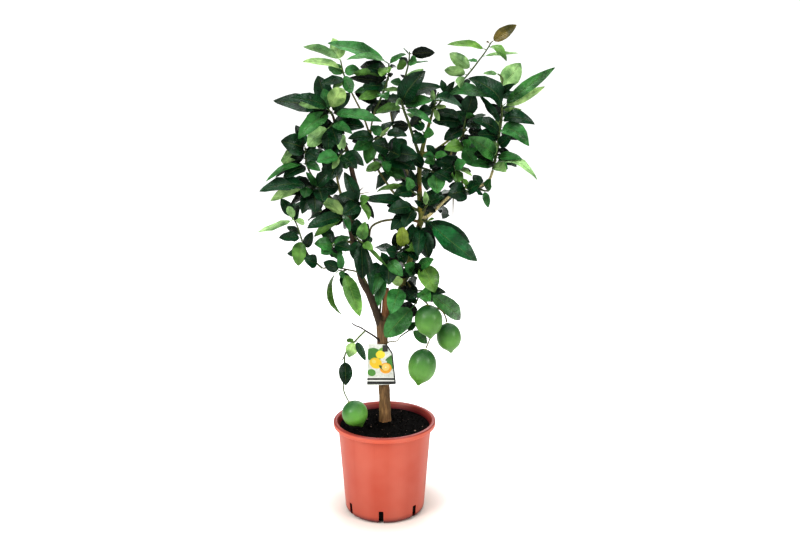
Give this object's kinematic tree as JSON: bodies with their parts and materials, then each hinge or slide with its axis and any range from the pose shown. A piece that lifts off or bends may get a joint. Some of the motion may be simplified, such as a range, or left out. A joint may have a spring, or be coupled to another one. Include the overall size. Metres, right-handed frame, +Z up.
{
  "type": "potted lemon tree",
  "caption": "Young lemon tree about one metre tall with green fruit, glossy oval leaves and a hanging label, growing in a round plastic nursery pot filled with compost.",
  "frame": {"origin": "centre of the pot's underside, on the ground", "axes": "+Z up along the trunk, -Y towards the front, from where the label is read; +X to the right as seen from the front"},
  "size_m": [0.5852, 0.31, 1.022],
  "materials": {
    "pot_plastic": "satin",
    "compost": "matte",
    "bark": "matte",
    "leaf": "satin",
    "lemon_peel": "satin",
    "label_card": "gloss"
  },
  "bodies": {
    "root": {"pot": "pot_plastic", "trunk_and_limbs": "bark", "soil": "compost", "lemon_front": "lemon_peel", "lemon_right": "lemon_peel", "lemon_low": "lemon_peel", "lemon_left": "lemon_peel", "label_tag": "label_card", "shoot_top_left": "leaf", "shoot_top_middle": "leaf", "shoot_top_green": "leaf", "shoot_limb_top": "leaf", "shoot_right_fan": "leaf", "shoot_top_right_sprig": "leaf", "shoot_right_top": "leaf", "shoot_right_upper": "leaf", "shoot_right_lower": "leaf", "shoot_right_foot": "leaf", "shoot_right_heart": "leaf", "shoot_heart_middle": "leaf", "shoot_heart_low": "leaf", "shoot_cream_leaves": "leaf", "shoot_fan_left": "leaf", "shoot_limb_middle": "leaf", "shoot_limb_scar": "leaf", "shoot_limb_high": "leaf", "shoot_middle_dark": "leaf", "shoot_middle_top": "leaf", "shoot_left_crown": "leaf", "shoot_left_crown_low": "leaf", "shoot_left_limb_leaves": "leaf", "shoot_left_shoulder": "leaf", "shoot_left_arm_leaves": "leaf", "shoot_left_arm_low": "leaf", "shoot_left_outer": "leaf", "shoot_left_spray_leaves": "leaf", "shoot_left_inner_leaves": "leaf", "shoot_left_limb_low": "leaf", "shoot_left_limb_mid": "leaf", "shoot_limb_left_high": "leaf", "shoot_limb_left_low": "leaf", "shoot_yellow_drop": "leaf", "shoot_limb_drop": "leaf", "shoot_veined": "leaf", "shoot_stub_twig": "leaf", "shoot_fruiting": "leaf", "shoot_fruiting_low": "leaf", "shoot_trunk_leaves": "leaf", "shoot_big_low_leaf": "leaf", "shoot_low_right": "leaf", "shoot_low_left": "leaf", "shoot_back_left_low": "leaf", "shoot_back_left_high": "leaf", "shoot_back_middle_low": "leaf", "shoot_back_middle_high": "leaf", "shoot_back_right_low": "leaf", "shoot_back_right_high": "leaf", "shoot_back_low": "leaf"}
  },
  "joints": []
}
